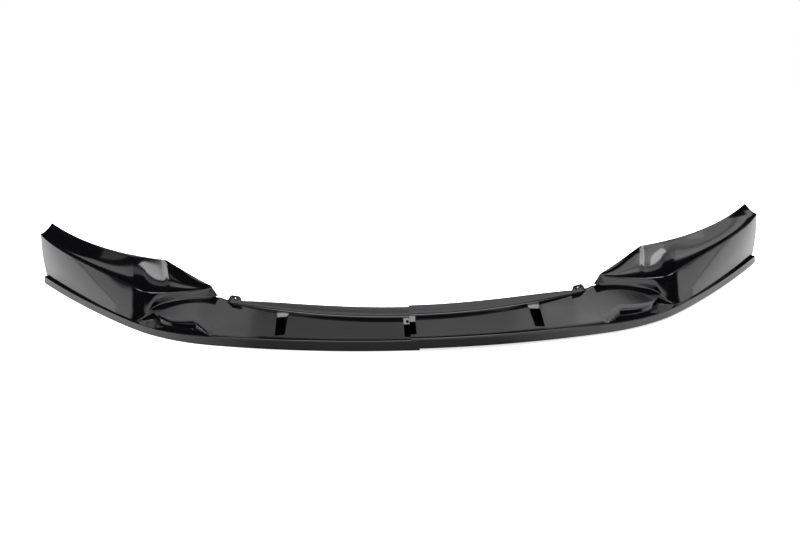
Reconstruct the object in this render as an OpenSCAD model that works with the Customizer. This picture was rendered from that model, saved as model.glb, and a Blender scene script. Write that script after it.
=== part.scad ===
// Front splitter lip in two mirrored mouldings, a left and a right half, that lap at a centre seam.
// X runs across the car and the front edge faces -Y. The origin is midway between the front and rear
// ends, at the seam, on the plane of the lower edge, so Z = 0 is the plane that the part stands on.
// Each half is one skin: an upright front lip, a deck sloping up to the bumper, an upright flange
// behind it, and at the corner a hollow wing with an outer wall, a concave ramp and a pointed horn.

/* [Plan outline] */
// Distance from the centre seam to the outer end of a half
half_w = 838; // [800:1:870]
// Radius of the front edge across the nose
nose_r = 1540; // [1400:10:1800]
// Angle that the front edge has turned through where the nose arc ends
nose_turn = 15.7; // [14:0.1:17]
// Radius of the front edge round the corner
corner_r = 406; // [380:1:430]
// Angle that the front edge has turned through where the corner arc ends
corner_turn = 46.5; // [45:0.1:48]
// Radius of the front edge along the side
side_r = 2170; // [1800:10:3000]

/* [Lip and deck] */
// Wall thickness of the moulding
skin = 3; // [2.5:0.1:3.5]
// Height of the front lip at the nose
lip_h = 22; // [20:0.5:26]
// Height of the front lip from the corner back
lip_corner_h = 16; // [14:0.5:18]
// Set-back of the lip's top against its bottom edge
lip_draft = 1.5; // [0.5:0.1:2.5]
// Width of the rounded top edge of the lip
lip_edge = 1.5; // [1:0.1:2]
// Depth of the deck at the centre seam, front edge to flange
deck_depth = 91; // [85:1:97]
// Rise of the deck towards the flange, in degrees
deck_slope = 12; // [10:0.5:14]
// Radius in plan of the line where the flange stands
foot_r = 850; // [820:5:900]
// How far the deck's rear edge swings back beyond that line at the horn
foot_kick = 9; // [6:0.5:12]

/* [Flange] */
// Height of the flange at the centre seam
flange_h = 20; // [16:0.5:24]
// Set-back of the flange's top against its foot
flange_lean = 2; // [1:0.1:3]
// Distance from the centre seam at which the flange has run out
flange_end = 402; // [396:1:408]
// Fillet between deck and flange
flange_fillet = 6; // [4:0.5:8]

/* [Corner ledge] */
// Width of the ledge between the lip and the wing's outer wall
ledge_w = 8; // [6:0.5:10]
// Distance from the centre seam at which the crease leaves the lip
crease_x = 426; // [420:1:432]
// Distance from the centre seam to the kink in the crease
kink_x = 455; // [448:1:462]
// Distance of the kink behind the front edge
kink_back = 45; // [40:1:50]
// How far the step up from the ledge to the deck leans back, as a share of its height
step_lean = 0.4; // [0.3:0.05:0.6]

/* [Wing] */
// Distance from the centre seam to the tip of the horn
tip_x = 413; // [410:1:418]
// Height of the horn's tip
tip_h = 77; // [72:1:84]
// Width of the horn's blunt tip
tip_w = 8; // [6:0.5:12]
// Distance from the centre seam to the rear end of the recess under the horn
apex_x = 558.5; // [553:0.5:563]
// Distance of that recess's rear end behind the front edge
apex_back = 69; // [64:1:74]
// Distance from the centre seam to the wing's front corner
prow_x = 590; // [584:1:596]
// Lean of the front corner, top behind bottom
prow_lean = 34; // [28:1:40]
// How far the front corner's top stands nearer the centre than its bottom
prow_cant = 8; // [4:1:12]
// Height of the crest over the front corner
prow_h = 77; // [72:1:86]
// Height of the crest at the outer end
end_h = 117; // [108:1:126]
// Height of the bumper edge at the outer end
end_top_h = 137; // [130:1:146]
// Width of the ramp at the outer end
end_ramp_w = 25; // [20:1:32]
// Distance from the centre seam to the horn's peak
peak_x = 535; // [525:1:545]
// Distance of the horn's peak behind the front edge
peak_back = 194; // [184:1:204]
// Height of the horn's peak
peak_h = 107; // [100:1:114]
// How far the outer wall bulges between ledge and crest
wall_bulge = 3; // [0:0.5:5]
// How far the horn's blunt tip bulges towards the centre
tip_bulge = 2; // [1:0.5:3]
// Clear height of the slit under the horn's tip
tip_gap = 4; // [3:0.5:6]
// Length of that slit
tip_slit = 26; // [20:1:32]

/* [Centre seam] */
// Length of the tongue that the left half slides under the right one
lap_w = 18; // [17:0.5:24]
// Clearance between the tongue and the half that covers it
lap_clear = 0.3; // [0.2:0.1:0.6]
// Extra height at which the covering half sits
lap_lift = 1.5; // [0:0.1:3]
// Depth of the centre pocket's floor outline, front to rear
centre_pocket_l = 56; // [52:1:60]
// Half the width of the centre pocket
centre_pocket_w = 12.5; // [10:0.5:13.5]

/* [Screw pockets] */
// Distance from the centre seam to the side pocket's inner wall
pocket_x = 264; // [250:1:280]
// Width of the side pocket at its front wall
pocket_w = 20.5; // [18:0.5:24]
// How much narrower the side pocket is at its rear
pocket_taper = 3; // [1:0.5:5]
// Distance of a pocket's front wall behind the front edge
pocket_front = 20; // [16:1:24]
// Distance of the side pocket's rear wall in front of the flange
pocket_rear = 11; // [9:0.5:14]
// Height of a pocket's floor
pocket_floor = 9; // [7:0.5:11]
// Radius of a pocket's upright corners
pocket_r = 3; // [2:0.5:4]
// Depth at which the scoop behind a pocket starts
scoop_d = 6; // [4:0.5:8]
// Width of the sloping facet beside the side pocket, at its rear
facet_w = 7.5; // [5:0.5:9]
// Depth of that facet at its rear
facet_d = 9; // [6:0.5:10]
// Diameter of the screw holes
screw_d = 6.5; // [5:0.1:7]
// Wall of the boss round the centre screw hole
boss_wall = 2.5; // [2:0.1:3]

/* [Mounting ear] */
// Distance from the centre seam to the mounting ear's hole
ear_x = 373; // [368:1:378]
// Width of the ear where it rises from the deck
ear_w = 42; // [36:1:46]
// Width of the ear's flat top
ear_top_w = 22; // [18:1:24]
// Height of the ear above the deck
ear_h = 17; // [15:0.5:20]
// Height of the ear's hole above the deck
ear_hole_up = 11.5; // [10:0.5:12]
// Diameter of the ear's hole
ear_hole_d = 4; // [3:0.1:5]

/* [Hidden] */
$fn = 48;
gloss_black = "#121316";
centre_stations = 26;
horn_stations = 20;
side_stations = 18;
// Shares of the horn's stations at the kink, at the peak and at the rear end of the recess
kink_share = 0.2;
peak_share = 0.55;
apex_share = 0.7;
// Share of the horn's stations over which its tip is rounded
tip_share = 0.15;
// Share of the bumper line that lies between the horn's peak and the front corner
bumper_share = 0.2;
lip_fade_x = 260;
wall_fillet = 1.5;
// The flange's fillet: its largest share of the flange's height, and its middle point as shares of it
fillet_limit = 0.6;
fillet_mid = [0.29, 0.24];
crest_edge = 2;
deck_shares = [0.15, 0.3, 0.55, 0.8];
ledge_shares = [0.2, 0.4, 0.6, 0.8];
wall_shares = [0.35, 0.7];
ramp_shares = [0.35, 0.55, 0.75, 0.9];
ramp_power = 1.7;
crease_margin = 14;
far = 60;

function mix(a, b, t) = a + (b - a) * t;
function smooth(t) = let (c = min(1, max(0, t))) c * c * (3 - 2 * c);
function unit(v) = v / norm(v);
function plan(v) = [v[0], v[1]];
function lift(v, z) = [v[0], v[1], z];
function left_of(v) = [-v[1], v[0]];
function bezier(c, t) =
    c[0] * pow(1 - t, 3) + c[1] * 3 * t * pow(1 - t, 2) + c[2] * 3 * t * t * (1 - t) + c[3] * pow(t, 3);

// The front edge in plan: three arcs that meet without a corner
corner_start = nose_r * [sin(nose_turn), 1 - cos(nose_turn)];
side_start = corner_start
    + corner_r * [sin(corner_turn) - sin(nose_turn), cos(nose_turn) - cos(corner_turn)];
function heading(x) =
    x < corner_start[0] ? asin(x / nose_r)
    : x < side_start[0] ? asin(sin(nose_turn) + (x - corner_start[0]) / corner_r)
    : asin(sin(corner_turn) + (x - side_start[0]) / side_r);
function front_y(x) =
    x < corner_start[0] ? nose_r * (1 - cos(heading(x)))
    : x < side_start[0] ? corner_start[1] + corner_r * (cos(nose_turn) - cos(heading(x)))
    : side_start[1] + side_r * (cos(corner_turn) - cos(heading(x)));
function front(x) = [x, front_y(x)];
function inward(x) = [-sin(heading(x)), cos(heading(x))];
function lip_z(x) = mix(lip_h, lip_corner_h, smooth((x - lip_fade_x) / (prow_x - lip_fade_x)));

// The line where the flange stands, the flange's height along it, and the sloping deck in front of it
function foot_y(x) =
    deck_depth + foot_r - sqrt(foot_r * foot_r - x * x) + foot_kick * smooth((x - ear_x) / (tip_x - ear_x));
function flange_z(x) = max(1, flange_h * (1 - pow(min(1, abs(x) / flange_end), 4)));
function deck_z(x, y) =
    lip_z(abs(x)) + tan(deck_slope) * (y - front_y(abs(x)) - lip_draft - lip_edge);

// Rails of the wing: its base, its crest over horn and side, and the edge that meets the bumper
tip_base = [tip_x, foot_y(tip_x), deck_z(tip_x, foot_y(tip_x))];
apex_y = front_y(apex_x) + apex_back;
apex = [apex_x, apex_y, deck_z(apex_x, apex_y)];
prow_base = lift(front(prow_x) + inward(prow_x) * ledge_w, lip_corner_h);
prow_top = [prow_x - prow_cant, prow_base[1] + prow_lean, prow_h];
end_base = lift(front(half_w) + inward(half_w) * ledge_w, lip_corner_h);
end_crest = [half_w, end_base[1] + ledge_w, end_h];
end_peak = [half_w - end_ramp_w, end_crest[1] + 0.8 * end_ramp_w, end_top_h];
peak = [peak_x, front_y(peak_x) + peak_back, peak_h];
tip_crest = [tip_x + 12, tip_base[1] - 6, tip_h];
tip_edge = tip_crest + [2, tip_w, 2];

base_rail = [tip_base, tip_base + [45, 9.5, 0], apex + [-10, 30.5, 0], apex];
horn_rail = [tip_crest, tip_crest + [42, -10, -5], prow_top + [-22, -26, -5], prow_top];
side_rail = [prow_top, prow_top + [55, 66, 8], end_crest + [-55, -113, -12], end_crest];
edge_rail = [tip_edge, tip_edge + [35, 24, 9], peak + [-30, -31, -7], peak];
bumper_rail = [peak, peak + [115, 15, 10], end_peak + [-68, -97, -10], end_peak];
kink = [kink_x, front_y(kink_x) + kink_back];
crease_end = plan(apex) - crease_margin * [0.45, 0.89];
crease_rail = [kink, kink + [43.5, 8], crease_end + [-22.5, -48], crease_end];

function front_x(p) = tip_x + (prow_x - tip_x) * p * (1.15 - 0.15 * p);
function base_at(p) =
    p < apex_share
    ? let (q = bezier(base_rail, p / apex_share)) lift(q, deck_z(q[0], q[1]))
    : mix(apex, prow_base, (p - apex_share) / (1 - apex_share));
function edge_at(p) =
    p < peak_share ? bezier(edge_rail, p / peak_share)
    : bezier(bumper_rail, bumper_share * (p - peak_share) / (1 - peak_share));
function crease_at(p) =
    p < kink_share ? mix(front(crease_x) + inward(crease_x) * ledge_w, kink, p / kink_share)
    : bezier(crease_rail, (p - kink_share) / (apex_share - kink_share));

// Four points from the lip's top edge to the wing's base: the rear edge of the ledge, the top of the
// step behind it, and two on the deck. The step starts at the lip and runs out beside the outer wall.
function step_points(top, base, floor_z) =
    let (rise = max(0.5, top[2] - floor_z), run = max(1, step_lean * rise)) [
        lift(plan(top) - unit(plan(base - top)) * run, floor_z),
        lift(top, floor_z + rise),
        mix(top, base, 0.35),
        mix(top, base, 0.7)
    ];
function crease_points(p) =
    let (q = crease_at(p)) step_points(lift(q, deck_z(q[0], q[1])), base_at(p), lip_z(front_x(p)));
function margin_points(p) =
    let (
        base = base_at(p),
        brink = lip_points(front_x(p))[2],
        fade = smooth((p - apex_share) / (1 - apex_share)),
        reach = min(mix(crease_margin, 1, fade), 0.6 * norm(plan(brink - base))),
        top = plan(base) + unit(plan(brink - base)) * reach
    ) step_points(lift(top, mix(base[2], brink[2], 0.1)), base, brink[2]);
function ledge_at(p) = p <= apex_share ? crease_points(p) : margin_points(p);

// Horizontal offset of a wall's inner face at rail point i, for a wall 1 thick
function miter(rail, i) =
    let (
        last = len(rail) - 1,
        n0 = left_of(unit(plan(rail[max(i, 1)] - rail[max(i, 1) - 1]))),
        n1 = left_of(unit(plan(rail[min(i, last - 1) + 1] - rail[min(i, last - 1)])))
    ) (n0 + n1) / (1 + n0 * n1);
// Factor on that offset where the wall leans from base to top
function lean_factor(base, top, n) =
    let (out = -plan(top - base) * unit(n), s = out / norm([out, top[2] - base[2]]))
    (1 + s) / sqrt(1 - s * s);

// The lip's share of a station, on the outer and on the inner face of the skin
function lip_points(x) =
    let (p = front(x), n = inward(x), z = lip_z(x)) [
        lift(p, 0),
        lift(p + n * lip_draft, z - lip_edge),
        lift(p + n * (lip_draft + lip_edge), z)
    ];
function lip_inner(x) =
    let (p = front(x), n = inward(x), z = lip_z(x)) [
        lift(p + n * skin, 0),
        lift(p + n * (skin + lip_draft), z - skin - lip_edge / 2),
        lift(p + n * (skin + lip_draft + lip_edge / 2), z - skin)
    ];

// A station across the centre: lip, deck, fillet, the flange's front face and its top
function centre_outer(x) =
    let (
        lip = lip_points(abs(x)),
        side = x < 0 ? -1 : 1,
        foot = foot_y(abs(x)),
        z = deck_z(x, foot),
        h = flange_z(x),
        r = min(flange_fillet, fillet_limit * h),
        top = [x, foot + flange_lean * h / flange_h, z + h]
    ) concat(
        [for (q = lip) [side * q[0], q[1], q[2]]],
        [for (s = deck_shares) let (y = mix(lip[2][1], foot - r, s)) [x, y, deck_z(x, y)]],
        [[x, foot - r, deck_z(x, foot - r)], [x, foot - fillet_mid[0] * r, z + fillet_mid[1] * r],
            [x, foot, z + r]],
        [for (s = wall_shares) mix([x, foot, z + r], top, s)],
        [for (k = [0:6]) top + [0, skin * k / 6, 0]]
    );
function centre_inner(x) =
    let (
        side = x < 0 ? -1 : 1,
        outer = centre_outer(x),
        last = len(outer) - 1,
        low = outer[7] + [0, skin + min(flange_fillet, fillet_limit * flange_z(x)), -skin],
        high = outer[last] - [0, 0, 0.2 * flange_z(x)]
    ) concat(
        [for (q = lip_inner(abs(x))) [side * q[0], q[1], q[2]]],
        [for (k = [3:6]) outer[k] - [0, 0, skin]],
        [for (k = [7:last]) mix(low, high, (k - 7) / (last - 7))]
    );

// A station through the wing: lip, ledge points, base, wall, crest, concave ramp and bumper edge
function wing_outer(x, ledge, base, crest, edge, push) =
    let (up = unit(crest - base), over = unit(edge - crest))
    concat(
        lip_points(x),
        ledge,
        [mix(base, ledge[3], 0.35), base + 0.3 * wall_fillet * up, base + wall_fillet * up],
        [for (s = wall_shares) mix(base, crest, s) + push * sin(180 * s)],
        [crest - crest_edge * up, crest + min(crest_edge, 0.15 * norm(edge - crest)) * over],
        [for (s = ramp_shares)
            lift(mix(plan(crest), plan(edge), s), mix(crest[2], edge[2], pow(s, ramp_power)))],
        [edge]
    );
function wing_inner(x, outer, base, crest, edge, base_n, crest_n, push, tip_shift) =
    let (
        drop = [0, 0, -skin],
        shift = [tip_shift, 0, 0],
        base_off = base_n * skin * lean_factor(base, crest, base_n),
        crest_off = crest_n * skin * lean_factor(base, crest, crest_n),
        room = min(1, 0.3 * norm(plan(edge - crest)) / norm(crest_off)),
        low = base + lift(base_off, -skin) + shift,
        high = crest + lift(crest_off * room, -skin) + shift,
        ramp = [for (k = [14:len(outer) - 1]) outer[k] + drop + shift],
        room_in = min(0.7 * skin, 0.5 * (outer[4][2] - outer[3][2]), 0.8 * norm(plan(base - outer[4]))),
        inset = lift(unit(plan(base - outer[4])) * room_in, 0)
    ) concat(
        lip_inner(x),
        [for (k = [3:7]) outer[k] + drop + (k < 5 ? inset : [0, 0, 0])],
        [mix(outer[7] + drop, low, 0.5), low],
        [for (s = wall_shares) mix(low, high, s) + push * sin(180 * s)],
        [high, mix(high, ramp[0], 0.3)],
        ramp
    );

module half_skin(from_x) {
    horn_p = [for (j = [0:horn_stations]) j / horn_stations];
    side_q = [for (j = [1:side_stations]) j / side_stations];
    front_xs = concat([for (p = horn_p) front_x(p)], [for (q = side_q) mix(prow_x, half_w, q)]);
    ledges = concat(
        [for (p = horn_p) ledge_at(p)],
        [for (q = side_q) let (x = mix(prow_x, half_w, q), brink = lip_points(x)[2])
            [for (s = ledge_shares) mix(brink, lift(front(x) + inward(x) * ledge_w, lip_corner_h), s)]]
    );
    bases = concat(
        [for (p = horn_p) base_at(p)],
        [for (q = side_q) let (x = mix(prow_x, half_w, q)) lift(front(x) + inward(x) * ledge_w, lip_corner_h)]
    );
    crests = concat([for (p = horn_p) bezier(horn_rail, p)], [for (q = side_q) bezier(side_rail, q)]);
    edges = concat(
        [for (p = horn_p) edge_at(p)],
        [for (q = side_q) bezier(bumper_rail, mix(bumper_share, 1, q))]
    );
    pushes = concat(
        [for (p = horn_p) [-tip_bulge * max(0, 1 - p / tip_share), 0, 0]],
        [for (q = side_q) lift(-inward(mix(prow_x, half_w, q)) * wall_bulge * smooth(3 * q), 0)]
    );
    last = len(bases) - 1;
    centre_xs = [for (i = [0:centre_stations]) mix(from_x, tip_x - skin, i / centre_stations)];
    wing_outers = [for (i = [0:last])
        wing_outer(front_xs[i], ledges[i], bases[i], crests[i], edges[i], pushes[i])];
    outers = concat([for (x = centre_xs) centre_outer(x)], wing_outers);
    inners = concat(
        [for (x = centre_xs) centre_inner(x)],
        [for (i = [0:last])
            wing_inner(front_xs[i], wing_outers[i], bases[i], crests[i], edges[i],
                miter(bases, i), miter(crests, i), pushes[i], skin * max(0, 1 - i / 2))]
    );
    n = len(outers[0]);
    stations = len(outers);
    ring = 2 * n;
    end = ring * (stations - 1);
    points = [for (i = [0:stations - 1])
        each concat(outers[i], [for (k = [n - 1:-1:0]) inners[i][k]])];
    sides = [for (i = [0:stations - 2]) for (k = [0:ring - 1])
        let (a = i * ring + k, b = i * ring + (k + 1) % ring)
        each [[a, b, b + ring], [a, b + ring, a + ring]]];
    caps = [for (k = [0:n - 2])
        let (a = k, b = k + 1, c = ring - 2 - k, d = ring - 1 - k)
        each [[a, c, b], [a, d, c], [end + a, end + b, end + c], [end + a, end + c, end + d]]];
    polyhedron(points, concat(sides, caps));
}

// Solid between two outlines of equally many points, both anticlockwise seen from the side of b
module loft(a, b) {
    n = len(a);
    polyhedron(concat(a, b), concat(
        [[for (k = [0:n - 1]) k], [for (k = [n - 1:-1:0]) n + k]],
        [for (k = [0:n - 1]) let (j = (k + 1) % n) each [[k, n + k, n + j], [k, n + j, j]]]
    ));
}
function at_x(x, outline) = [for (q = outline) [x, q[0], q[1]]];
function at_y(y, outline) = [for (q = outline) [q[0], y, q[1]]];

// Side view outlines at X = x: the box under a pocket, the wall under its scoop, and the scoop's cut
function box_outline(x, y0, y1) = [
    [y0 - skin, pocket_floor - skin],
    [y1 + skin, pocket_floor - skin],
    [y1 + skin, deck_z(x, y1) - scoop_d],
    [y0 - skin, deck_z(x, y0 - skin) - skin / 2]
];
function scoop_wall(x, y1) = let (foot = foot_y(abs(x))) [
    [y1 - skin / 2, deck_z(x, y1) - scoop_d - skin],
    [y1 + 1.5 * skin, deck_z(x, y1) - scoop_d - skin],
    [foot + skin / 2, deck_z(x, foot) - skin / 2],
    [y1 - skin / 2, deck_z(x, y1) - skin / 2]
];
function scoop_cut(x, y1) = let (foot = foot_y(abs(x)), r = flange_fillet) [
    [y1 - pocket_r / 2, deck_z(x, y1) - scoop_d],
    [y1 + skin / 4, deck_z(x, y1) - scoop_d],
    [foot - fillet_mid[0] * r, deck_z(x, foot) + fillet_mid[1] * r],
    [foot - fillet_mid[0] * r, far],
    [y1 - pocket_r / 2, far]
];

// Front view outlines at Y = y of the facet beside the side pocket: its wall and its cut
function facet_wall(y, w, d) = let (z = deck_z(pocket_x, y)) [
    [pocket_x - w - skin, z - skin / 2],
    [pocket_x - skin / 2, z - d - 1.5 * skin],
    [pocket_x - skin / 2, z - skin / 2]
];
function facet_cut(y, w, d) = let (z = deck_z(pocket_x, y)) [
    [pocket_x - w, z],
    [pocket_x + skin, z - d * (1 + skin / w)],
    [pocket_x + skin, far],
    [pocket_x - w, far]
];

module pocket_walls(x0, x1, y0, y1) {
    loft(at_x(x0 - skin, box_outline(x0, y0, y1)), at_x(x1 + skin, box_outline(x1, y0, y1)));
}
module scoop_walls(x0, x1, y1) {
    loft(at_x(x0 - 1.5 * skin, scoop_wall(x0, y1)), at_x(x1 + 1.5 * skin, scoop_wall(x1, y1)));
}
module scoop(x0, x1, y1) {
    loft(at_x(x0, scoop_cut(x0, y1)), at_x(x1, scoop_cut(x1, y1)));
}
// Hollow of a pocket that narrows from its front to its rear
module pocket_hollow(x0, x1, y0, y1, taper) {
    translate([0, 0, pocket_floor]) linear_extrude(far) offset(pocket_r) offset(-pocket_r)
        polygon([[x0, y0], [x1, y0], [x1 - taper, y1], [x0, y1]]);
}
module screw_hole(place) {
    translate([place[0], place[1], -1]) cylinder(h = far, d = screw_d);
}

side_end = pocket_x + pocket_w;
side_front = front_y(pocket_x) + pocket_front;
side_rear = foot_y(pocket_x - facet_w) - pocket_rear;
side_hole = [pocket_x + (pocket_w - pocket_taper) / 2, side_rear - 2 * screw_d];
centre_front = pocket_front - 5;
centre_rear = centre_front + centre_pocket_l;
centre_hole = [boss_wall + screw_d / 4, centre_rear + screw_d];

module side_pocket_walls() {
    pocket_walls(pocket_x, side_end, side_front, side_rear);
    scoop_walls(pocket_x - facet_w, side_end, side_rear);
    loft(at_y(side_rear + skin / 2, facet_wall(side_rear, facet_w, facet_d)),
        at_y(side_front, facet_wall(side_front, 0, 0)));
}
module side_pocket_cuts() {
    pocket_hollow(pocket_x, side_end, side_front, side_rear, pocket_taper);
    scoop(pocket_x - facet_w, side_end - pocket_taper, side_rear);
    loft(at_y(side_rear + skin / 8, facet_cut(side_rear, facet_w, facet_d)),
        at_y(side_front + skin / 8, facet_cut(side_front, skin / 10, skin / 10)));
    screw_hole(side_hole);
}

// Ear that stands up behind the deck's rear edge, turned to follow it, and the hole through it
module at_ear() {
    foot = foot_y(ear_x);
    translate([ear_x, foot, deck_z(ear_x, foot)]) rotate([0, 0, asin(ear_x / foot_r)]) children();
}
module mounting_ear() {
    at_ear() translate([0, skin, 0]) rotate([90, 0, 0]) linear_extrude(skin)
        offset(skin) offset(-skin) polygon([
            [-0.44 * ear_w, -skin], [0.56 * ear_w, -skin], [ear_top_w / 2, ear_h], [-ear_top_w / 2, ear_h]
        ]);
}
module ear_hole() {
    at_ear() translate([0, far / 2, ear_hole_up]) rotate([90, 0, 0]) cylinder(h = far, d = ear_hole_d);
}

// Slit between the deck and the horn's free tip
module tip_opening() {
    low = tip_base[2] + skin / 10;
    translate([0, tip_base[1] + far, 0]) rotate([90, 0, 0]) linear_extrude(far + skin)
        polygon([[tip_x - skin, low], [tip_x + tip_slit, low - skin / 2], [tip_x - skin, low + tip_gap]]);
}

// One half up to X = from_x, with the cuts that both halves share
module half(from_x) {
    difference() {
        union() {
            half_skin(from_x);
            side_pocket_walls();
            mounting_ear();
            children(0);
        }
        side_pocket_cuts();
        ear_hole();
        tip_opening();
        children(1);
    }
}

// The sizes above count Y from the front edge, and both halves are moved back to the origin
step = skin + lap_clear;
middle = (end_peak[1] - step) / 2;

// The left half ends in a tongue that carries the whole centre pocket and the boss of its screw
module left_half() {
    color(gloss_black) translate([0, -middle, 0]) mirror([1, 0, 0]) half(-lap_w) {
        union() {
            pocket_walls(-centre_pocket_w, centre_pocket_w, centre_front, centre_rear);
            scoop_walls(-centre_pocket_w, centre_pocket_w, centre_rear);
            translate([centre_hole[0], centre_hole[1], pocket_floor - skin])
                cylinder(h = deck_z(0, centre_hole[1]) - pocket_floor, d = screw_d + 2 * boss_wall);
        }
        union() {
            pocket_hollow(-centre_pocket_w, centre_pocket_w, centre_front, centre_rear, 0);
            scoop(-centre_pocket_w, centre_pocket_w, centre_rear);
            screw_hole(centre_hole);
        }
    }
}

// The right half sits over that tongue, cut out above the centre pocket
module right_half() {
    color(gloss_black) translate([0, -middle - step, step + lap_lift]) half(0) {
        scoop_walls(1.5 * skin, centre_pocket_w, centre_rear + step);
        union() {
            pocket_hollow(-far, centre_pocket_w, centre_front + step, centre_rear + step, 0);
            scoop(-skin, centre_pocket_w, centre_rear + step);
        }
    }
}

left_half();
right_half();
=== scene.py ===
"""Front splitter lip in gloss black: the looks of its left and right half, with floor, lamps and camera."""

import logging
import math
from dataclasses import dataclass
from enum import Enum

import bmesh
import bpy
from mathutils import Matrix, Vector


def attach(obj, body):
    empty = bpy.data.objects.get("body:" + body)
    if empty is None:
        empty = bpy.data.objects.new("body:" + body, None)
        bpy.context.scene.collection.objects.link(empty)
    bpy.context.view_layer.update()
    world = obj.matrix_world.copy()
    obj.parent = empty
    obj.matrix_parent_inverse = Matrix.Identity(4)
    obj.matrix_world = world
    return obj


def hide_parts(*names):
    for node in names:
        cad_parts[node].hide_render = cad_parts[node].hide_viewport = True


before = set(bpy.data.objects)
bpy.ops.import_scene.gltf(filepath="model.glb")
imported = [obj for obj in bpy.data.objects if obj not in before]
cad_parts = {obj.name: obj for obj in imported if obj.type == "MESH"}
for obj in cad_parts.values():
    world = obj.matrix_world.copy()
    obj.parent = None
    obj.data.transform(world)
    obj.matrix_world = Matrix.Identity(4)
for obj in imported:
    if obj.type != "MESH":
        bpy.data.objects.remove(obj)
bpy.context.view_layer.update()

LOG = logging.getLogger("splitter")
MM = 0.001


class Cut(Enum):
    """What a tool solid does to the shell that it meets."""

    ADD = "UNION"
    TAKE = "DIFFERENCE"


def mix(a, b, share: float):
    """Value or point that lies the given share of the way from a to b."""
    return a + (b - a) * share


def smooth(share: float) -> float:
    """Eases a share from 0 to 1 so that it starts and ends level."""
    held = min(1.0, max(0.0, share))
    return held * held * (3 - 2 * held)


def flat(point: Vector) -> Vector:
    """The point's place in plan."""
    return Vector((point.x, point.y, 0))


def lift(point: Vector, height: float) -> Vector:
    """The point's place in plan, at the given height."""
    return Vector((point.x, point.y, height))


def rail(points: list[Vector], share: float) -> Vector:
    """Point on a cubic curve.

    Args:
        points: The curve's two ends and the two handles between them, in order.
        share: How far along the curve, from 0 to 1.

    Returns:
        The point at that share.
    """
    left = 1 - share
    return (
        points[0] * left**3
        + points[1] * (3 * share * left**2)
        + points[2] * (3 * share**2 * left)
        + points[3] * share**3
    )


def rounded(before: Vector, corner: Vector, after: Vector, reach: float, count: int) -> list[Vector]:
    """Points of a corner that is rounded off.

    Args:
        before: A point on the side that leads to the corner.
        corner: The sharp corner.
        after: A point on the side that leaves the corner.
        reach: How far the rounding runs along each side.
        count: How many points it has.

    Returns:
        The points from the first side to the second.
    """
    back, onward = before - corner, after - corner
    held = min(reach, 0.45 * back.length, 0.45 * onward.length)
    start = corner + back.normalized() * held
    end = corner + onward.normalized() * held
    shares = [i / (count - 1) for i in range(count)]
    return [start.lerp(corner, s).lerp(corner.lerp(end, s), s) for s in shares]


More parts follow.
